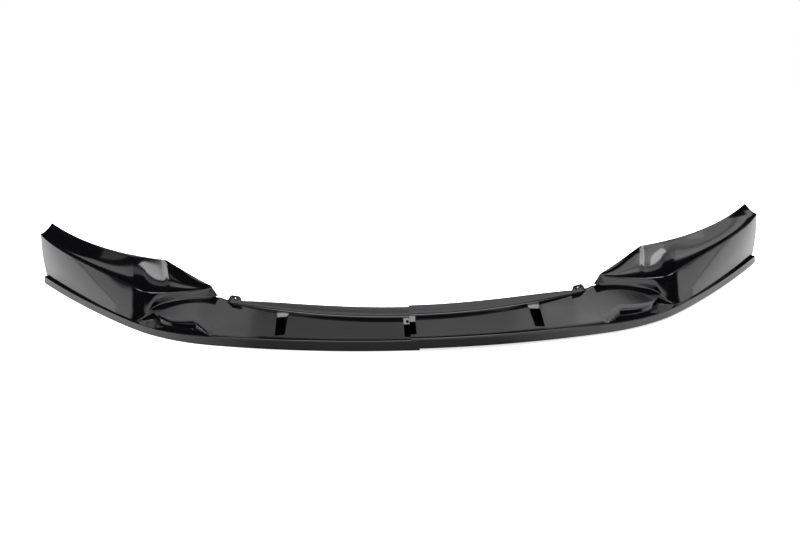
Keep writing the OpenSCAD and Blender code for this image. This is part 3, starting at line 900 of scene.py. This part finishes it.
    def add_centre_walls(self) -> None:
        """Adds the floor, walls and boss of the centre pocket, which the left half's tongue carries."""
        plan, width = self.plan, self.CENTRE_W
        combine(self.shell, self.box(-width, width, self.centre_front, self.centre_rear), Cut.ADD)
        combine(self.shell, self.scoop_wall(-width, width, self.centre_rear), Cut.ADD)
        x, y = self.BOSS + self.SCREW / 4, self.centre_rear + self.SCREW
        low = self.FLOOR - plan.skin
        height = plan.deck_z(0, y) - self.FLOOR
        middle = Vector((x, y, low + height / 2))
        boss = cylinder("boss", middle, Vector((0, 0, 1)), self.SCREW + 2 * self.BOSS, height)
        combine(self.shell, boss, Cut.ADD)

    def cut_centre(self) -> None:
        """Hollows the centre pocket of the left half, with its scoop and its screw hole."""
        width = self.CENTRE_W
        combine(self.shell, self.hollow(-width, width, self.centre_front, self.centre_rear, 0), Cut.TAKE)
        combine(self.shell, self.scoop(-width, width, self.centre_rear), Cut.TAKE)
        hole = Vector((self.BOSS + self.SCREW / 4, self.centre_rear + self.SCREW, 0))
        screw = cylinder("screw_hole", hole, Vector((0, 0, 1)), self.SCREW, 2 * self.FAR)
        combine(self.shell, screw, Cut.TAKE)

    def cut_cover(self, step: float) -> None:
        """Cuts the right half away above the centre pocket, with the wall of its own scoop."""
        skin, width, rear = self.plan.skin, self.CENTRE_W, self.centre_rear + step
        combine(self.shell, self.scoop_wall(1.5 * skin, width, rear), Cut.ADD)
        combine(self.shell, self.hollow(-self.FAR, width, self.centre_front + step, rear, 0), Cut.TAKE)
        combine(self.shell, self.scoop(-skin, width, rear), Cut.TAKE)


class Ear:
    """Mounting ear that stands up behind the deck's rear edge."""

    WIDTH = 42.0
    TOP_WIDTH = 22.0
    HEIGHT = 17.0
    HOLE_UP = 11.5
    HOLE = 4.0

    def __init__(self, plan: Plan) -> None:
        """Finds where the ear stands.

        Args:
            plan: The sizes of a half.
        """
        self.plan = plan
        foot = plan.foot_y(plan.ear_x)
        turn = Matrix.Rotation(math.asin(plan.ear_x / plan.foot_r), 4, "Z")
        self.place = Matrix.Translation((plan.ear_x, foot, plan.deck_z(plan.ear_x, foot))) @ turn

    def add_to(self, shell: bpy.types.Object) -> None:
        """Adds the ear to the shell and bores its hole."""
        skin = self.plan.skin
        shape = (
            (-0.44 * self.WIDTH, -skin),
            (0.56 * self.WIDTH, -skin),
            (self.TOP_WIDTH / 2, self.HEIGHT),
            (-self.TOP_WIDTH / 2, self.HEIGHT),
        )
        corners = [Vector((x, 0, z)) for x, z in shape]
        outline = []
        for i, corner in enumerate(corners):
            outline += rounded(corners[i - 1], corner, corners[(i + 1) % 4], skin, 7)
        back = [point + Vector((0, skin, 0)) for point in outline]
        ear = prism("ear", [self.place @ p for p in outline], [self.place @ p for p in back])
        combine(shell, ear, Cut.ADD)
        centre = self.place @ Vector((0, 0, self.HOLE_UP))
        axis = self.place.to_3x3() @ Vector((0, 1, 0))
        combine(shell, cylinder("ear_hole", centre, axis, self.HOLE, 40), Cut.TAKE)


@dataclass(frozen=True)
class GlossBlackAbs:
    """Injection-moulded ABS, gloss black: a polished mould leaves it mirror-like with a faint ripple."""

    name: str = "gloss_black_abs"
    colour: str = "#050506"
    roughness: float = 0.09
    ior: float = 1.52
    ripple_mm: float = 9.0
    ripple_strength: float = 0.02
    haze_mm: float = 60.0
    haze_share: tuple[float, float] = (0.8, 1.25)

    def material(self) -> bpy.types.Material:
        """The finish as a material.

        Returns:
            The material, with its pattern on Object coordinates.
        """
        material = bpy.data.materials.new(self.name)
        material.use_nodes = True
        tree = material.node_tree
        shader = tree.nodes["Principled BSDF"]
        shader.inputs["Base Color"].default_value = linear(self.colour)
        shader.inputs["IOR"].default_value = self.ior
        place = add_node(tree, "ShaderNodeTexCoord")
        # The ripple bends the reflections very slightly, as a moulded skin does.
        ripple = add_node(
            tree,
            "ShaderNodeTexNoise",
            {"Scale": 1 / (self.ripple_mm * MM), "Detail": 1.0},
            {"Vector": (place, "Object")},
        )
        # The haze makes the gloss a little uneven, so that highlights don't end in a ruled line.
        haze = add_node(
            tree,
            "ShaderNodeTexNoise",
            {"Scale": 1 / (self.haze_mm * MM), "Detail": 4.0},
            {"Vector": (place, "Object")},
        )
        low, high = (self.roughness * share for share in self.haze_share)
        spread = add_node(
            tree,
            "ShaderNodeMapRange",
            {"From Min": 0.3, "From Max": 0.7, "To Min": low, "To Max": high},
            {"Value": (haze, "Fac")},
        )
        bump = add_node(
            tree,
            "ShaderNodeBump",
            {"Strength": self.ripple_strength, "Distance": MM},
            {"Height": (ripple, "Fac")},
        )
        tree.links.new(spread.outputs["Result"], shader.inputs["Roughness"])
        tree.links.new(bump.outputs["Normal"], shader.inputs["Normal"])
        return material


def linear(colour: str) -> tuple[float, float, float, float]:
    """Linear colour from an sRGB hex value."""
    parts = [int(colour[i : i + 2], 16) / 255 for i in (1, 3, 5)]
    return (*(p / 12.92 if p <= 0.04045 else ((p + 0.055) / 1.055) ** 2.4 for p in parts), 1.0)


def add_node(tree: bpy.types.NodeTree, kind: str, values: dict | None = None, links: dict | None = None):
    """Adds a node with its settings and links.

    Args:
        tree: The node tree.
        kind: The node's type name.
        values: Value of each input, by its name.
        links: For each input's name, the node and the output that feed it.

    Returns:
        The node.
    """
    node = tree.nodes.new(kind)
    for name, value in (values or {}).items():
        node.inputs[name].default_value = value
    for name, (source, output) in (links or {}).items():
        tree.links.new(source.outputs[output], node.inputs[name])
    return node


class Half:
    """One half of the splitter, built in its own frame and then put in its place."""

    SMOOTH = math.radians(32)
    SLIT_LENGTH = 26
    SLIT_HEIGHT = 4
    SLIT_DEPTH = 7

    def __init__(self, node: str, slot: str, side: int, plan: Plan) -> None:
        """Names the half.

        Args:
            node: The CAD node that it stands for.
            slot: The record's slot of its finish; not used.
            side: -1 for the left half and 1 for the right one.
            plan: The sizes of a half.
        """
        self.node = node
        self.slot = slot
        self.side = side
        self.plan = plan

    def place(self) -> Matrix:
        """Moves the half from its own frame to the shared one, in metres."""
        plan = self.plan
        step = plan.lap()
        middle = (Rails(plan).end_peak.y - step) / 2
        if self.side < 0:
            move = Vector((0, -middle, 0))
        else:
            move = Vector((0, -middle - step, step + plan.lap_rise))
        turn = Matrix.Diagonal((self.side, 1, 1, 1))
        return Matrix.Diagonal((MM, MM, MM, 1)) @ Matrix.Translation(move) @ turn

    def build(self) -> bpy.types.Object:
        """Models the half.

        Returns:
            The finished piece, riding on its body.
        """
        plan = self.plan
        from_x = -plan.tongue if self.side < 0 else 0.0
        shell = shell_piece(f"{self.node}_shell", Skin(plan, from_x).rings())
        pockets = Pockets(plan, shell)
        pockets.add_side_walls()
        if self.side < 0:
            pockets.add_centre_walls()
        pockets.cut_side()
        if self.side < 0:
            pockets.cut_centre()
        else:
            pockets.cut_cover(plan.lap())
        Ear(plan).add_to(shell)
        combine(shell, self.tip_slit(), Cut.TAKE)
        shell.data.transform(self.place())
        face_outwards(shell, merge=1e-6)
        bpy.ops.object.shade_smooth_by_angle(angle=self.SMOOTH)
        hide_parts(self.node)
        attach(shell, "root")
        return shell

    def tip_slit(self) -> bpy.types.Object:
        """Solid that the slit under the horn's free tip takes away."""
        plan, tip = self.plan, Rails(self.plan).tip
        low = tip.z + plan.skin / 10
        shape = (
            (plan.tip_x - plan.skin, low),
            (plan.tip_x + self.SLIT_LENGTH, low - plan.skin / 2),
            (plan.tip_x - plan.skin, low + self.SLIT_HEIGHT),
        )
        start = [Vector((x, tip.y - plan.skin, z)) for x, z in shape]
        return prism("tip_slit", start, [point + Vector((0, self.SLIT_DEPTH, 0)) for point in start])


@dataclass(frozen=True)
class MattWhitePaper:
    """White paper sweep: a flat, even ground that goes pure white for the camera.

    It has painted shade: a grey oval painted into its colour in front of the lip, so that black gloss mirrors
    a darker floor at its foot.
    """

    name: str = "matt_white_paper"
    colour: str = "#e8e8e8"
    # Painted shade: the grey of the oval painted on the floor in front of the lip.
    painted_shade: str = "#787878"
    roughness: float = 0.9
    specular: float = 0.2
    camera_glow: float = 0.75
    painted_shade_x: tuple[float, float] = (0.07, 0.6)
    painted_shade_y: tuple[float, float] = (0.27, 0.24)
    painted_shade_from: float = 0.08
    painted_shade_to: float = 0.55

    def material(self) -> bpy.types.Material:
        """The finish as a material.

        Returns:
            The material, its painted shade a soft grey oval on Object coordinates.
        """
        material = bpy.data.materials.new(self.name)
        material.use_nodes = True
        tree = material.node_tree
        shader = tree.nodes["Principled BSDF"]
        # Painted shade: a soft grey oval in front of the lip is mixed into the paper's colour, for the gloss
        # to mirror.
        (off_x, reach_x), (off_y, reach_y) = self.painted_shade_x, self.painted_shade_y
        place = add_node(tree, "ShaderNodeTexCoord")
        spot = add_node(
            tree,
            "ShaderNodeMapping",
            {"Location": (off_x / reach_x, off_y / reach_y, 0), "Scale": (1 / reach_x, 1 / reach_y, 0)},
            {"Vector": (place, "Object")},
        )
        painted_shade_patch = add_node(tree, "ShaderNodeTexGradient", links={"Vector": (spot, "Vector")})
        painted_shade_patch.gradient_type = "SPHERICAL"
        share = add_node(
            tree,
            "ShaderNodeMapRange",
            {"From Min": self.painted_shade_from, "From Max": self.painted_shade_to},
            {"Value": (painted_shade_patch, "Fac")},
        )
        paper = add_node(
            tree,
            "ShaderNodeMixRGB",
            {1: linear(self.colour), 2: linear(self.painted_shade)},
            {0: (share, "Result")},
        )
        tree.links.new(paper.outputs["Color"], shader.inputs["Base Color"])
        shader.inputs["Roughness"].default_value = self.roughness
        shader.inputs["Specular IOR Level"].default_value = self.specular
        path = add_node(tree, "ShaderNodeLightPath")
        white = add_node(tree, "ShaderNodeMath", {1: self.camera_glow}, {0: (path, "Is Camera Ray")})
        white.operation = "MULTIPLY"
        shader.inputs["Emission Color"].default_value = linear("#ffffff")
        tree.links.new(white.outputs[0], shader.inputs["Emission Strength"])
        return material


class Studio:
    """Pale floor, soft lamps, world and the camera of the photograph."""

    CAMERA = Vector((-125.974, -3304.184, 1301.818)) * MM
    DOWN = math.radians(20.027)
    TURN = math.radians(1.973)
    ROLL = math.radians(-0.866)
    FOCAL_PX = 1594.031
    WIDTH_PX = 800
    SENSOR_MM = 36.0
    CLIP_END = 50
    FLOOR_AT = (0, -0.2, -0.0003)
    FLOOR_SIZE = (5.6, 4.0, 1, 1)
    # The world is bright near the horizon in front and nearly black overhead and behind.
    BAND = {"From Min": 0.2, "From Max": 0.28, "To Min": 1.6, "To Max": 0.01}
    AHEAD = {"From Min": 0.1, "From Max": 0.5, "To Min": 1, "To Max": 0}
    HEIGHT = 2.4
    GAP = 0.01
    # Name, left, right, front and back limit in metres, and glow. Each hangs a little higher than
    # the one before, because boxes in one plane hide each other where they overlap.
    CEILING = (
        ("key", -1.25, 1.4, -1.3, 0.3, 6.0),
        ("key_rear", -0.55, 0.6, 0.3, 1.55, 5.0),
        ("key_left", -2.1, -1.25, -1.3, 0.1, 2.4),
        ("left_patch", -1.65, -1.0, 0.95, 1.4, 0.5),
        ("back", -1.65, 3.4, 1.8, 2.3, 0.6),
        ("back_left", -1.65, -0.8, 1.8, 2.6, 0.35),
        ("back_left_rear", -1.65, -0.75, 2.3, 2.6, 0.6),
        ("back_corner", -1.65, -1.2, 1.8, 2.6, 0.2),
        ("back_right", 0.12, 3.4, 1.8, 2.3, 0.25),
        ("back_right_mid", 0.7, 3.4, 1.8, 2.35, 0.3),
        ("back_right_far", 1.15, 3.4, 1.8, 2.6, 0.45),
        ("back_right_rear", 0.9, 3.4, 2.3, 2.6, 0.85),
        ("right", 0.1, 3.4, 0.6, 1.8, 1.0),
        ("right_mid", 0.5, 3.4, 0.7, 1.6, 0.6),
        ("right_near", 0.4, 2.0, 0.4, 1.3, 0.8),
        ("right_corner", 2.8, 4.3, 2.6, 3.3, 1.3),
    )
    # Name, place, target, size and glow. They light the floor and don't show in the gloss.
    WASHES = (
        ("front_wash", (0, -1.1, 1.0), (0, -0.9, 0), (1.8, 0.5), 5.0),
        ("left_wash", (-1.5, 0.2, 0.9), (-1.3, 0.2, 0), (1.0, 0.7), 7.5),
        ("right_wash", (1.5, 0.2, 0.9), (1.3, 0.2, 0), (1.0, 0.7), 5.5),
    )

    def add_camera(self) -> None:
        """Sets the camera where the photograph was taken from."""
        ahead = Vector(
            (
                math.sin(self.TURN) * math.cos(self.DOWN),
                math.cos(self.TURN) * math.cos(self.DOWN),
                -math.sin(self.DOWN),
            )
        )
        level = Vector((math.cos(self.TURN), -math.sin(self.TURN), 0))
        above = level.cross(ahead)
        right = level * math.cos(self.ROLL) + above * math.sin(self.ROLL)
        up = above * math.cos(self.ROLL) - level * math.sin(self.ROLL)
        deselect()
        bpy.ops.object.camera_add()
        camera = bpy.context.object
        camera.name = "camera"
        camera.data.sensor_width = self.SENSOR_MM
        camera.data.lens = self.FOCAL_PX / self.WIDTH_PX * self.SENSOR_MM
        camera.data.clip_end = self.CLIP_END
        turned = Matrix((right, up, -ahead)).transposed().to_4x4()
        camera.matrix_world = Matrix.Translation(self.CAMERA) @ turned
        bpy.context.scene.camera = camera

    def add_lamp(
        self,
        name: str,
        place: tuple,
        target: tuple,
        size: tuple,
        glow: float,
        seen: bool = True,
    ) -> None:
        """Adds one soft box.

        Args:
            name: The lamp's name.
            place: Where it hangs, in metres.
            target: The point that it faces.
            size: Its width and height.
            glow: Its brightness, where 1 is a white surface in full light.
            seen: Whether it shows in gloss.
        """
        deselect()
        bpy.ops.object.light_add(type="AREA")
        lamp = bpy.context.object
        lamp.name = name
        lamp.data.shape = "RECTANGLE"
        lamp.data.size, lamp.data.size_y = size
        lamp.data.energy = glow * math.pi * size[0] * size[1]
        lamp.visible_camera = False
        lamp.visible_glossy = seen
        aim = (Vector(target) - Vector(place)).to_track_quat("-Z", "Y").to_matrix().to_4x4()
        lamp.matrix_world = Matrix.Translation(place) @ aim

    def add_ceiling(self) -> None:
        """Hangs the overhead boxes side by side, each level and facing down."""
        for i, (name, left, right, front, back, glow) in enumerate(self.CEILING):
            middle = ((left + right) / 2, (front + back) / 2)
            size = (right - left, back - front)
            self.add_lamp(name, (*middle, self.HEIGHT + i * self.GAP), (*middle, 0), size, glow)

    def add_floor(self) -> None:
        """Lays the pale floor."""
        deselect()
        bpy.ops.mesh.primitive_plane_add(size=1, location=(0, 0, 0))
        floor = bpy.context.object
        floor.name = "floor"
        floor.data.transform(Matrix.Translation(self.FLOOR_AT) @ Matrix.Diagonal(self.FLOOR_SIZE))
        floor.data.materials.append(MattWhitePaper().material())

    def add_world(self) -> None:
        """Sets a white background that lights the part softly."""
        world = bpy.data.worlds.new("studio")
        bpy.context.scene.world = world
        world.use_nodes = True
        tree = world.node_tree
        ground = tree.nodes["Background"]
        ground.inputs["Color"].default_value = linear("#ffffff")
        view = add_node(tree, "ShaderNodeTexCoord")
        height = add_node(tree, "ShaderNodeSeparateXYZ", links={"Vector": (view, "Generated")})
        band = add_node(tree, "ShaderNodeMapRange", self.BAND, {"Value": (height, "Z")})
        ahead = add_node(tree, "ShaderNodeMapRange", self.AHEAD, {"Value": (height, "Y")})
        glow = add_node(tree, "ShaderNodeMath", links={0: (band, "Result"), 1: (ahead, "Result")})
        glow.operation = "MULTIPLY"
        tree.links.new(glow.outputs[0], ground.inputs["Strength"])
        seen = add_node(tree, "ShaderNodeBackground", {"Color": linear("#ffffff"), "Strength": 1.0})
        path = add_node(tree, "ShaderNodeLightPath")
        choice = add_node(tree, "ShaderNodeMixShader")
        tree.links.new(path.outputs["Is Camera Ray"], choice.inputs["Fac"])
        tree.links.new(ground.outputs["Background"], choice.inputs[1])
        tree.links.new(seen.outputs["Background"], choice.inputs[2])
        tree.links.new(choice.outputs["Shader"], tree.nodes["World Output"].inputs["Surface"])

    def build(self) -> None:
        """Sets up the camera, the floor, the lamps and the world."""
        self.add_camera()
        self.add_floor()
        self.add_world()
        self.add_ceiling()
        for wash in self.WASHES:
            self.add_lamp(*wash, seen=False)
        bpy.context.scene.view_settings.view_transform = "Standard"


def main() -> None:
    """Builds the studio and both halves, and reports each piece."""
    logging.basicConfig(level=logging.INFO, format="%(name)s: %(message)s")
    Studio().build()
    plan = Plan()
    finish = GlossBlackAbs().material()
    for node, slot, side in (("left_half", "gloss_black_left", -1), ("right_half", "gloss_black_right", 1)):
        piece = Half(node, slot, side, plan).build()
        piece.data.materials.clear()
        piece.data.materials.append(finish)
        LOG.info("%s: %d faces", piece.name, len(piece.data.polygons))


if __name__ == "__main__":
    main()
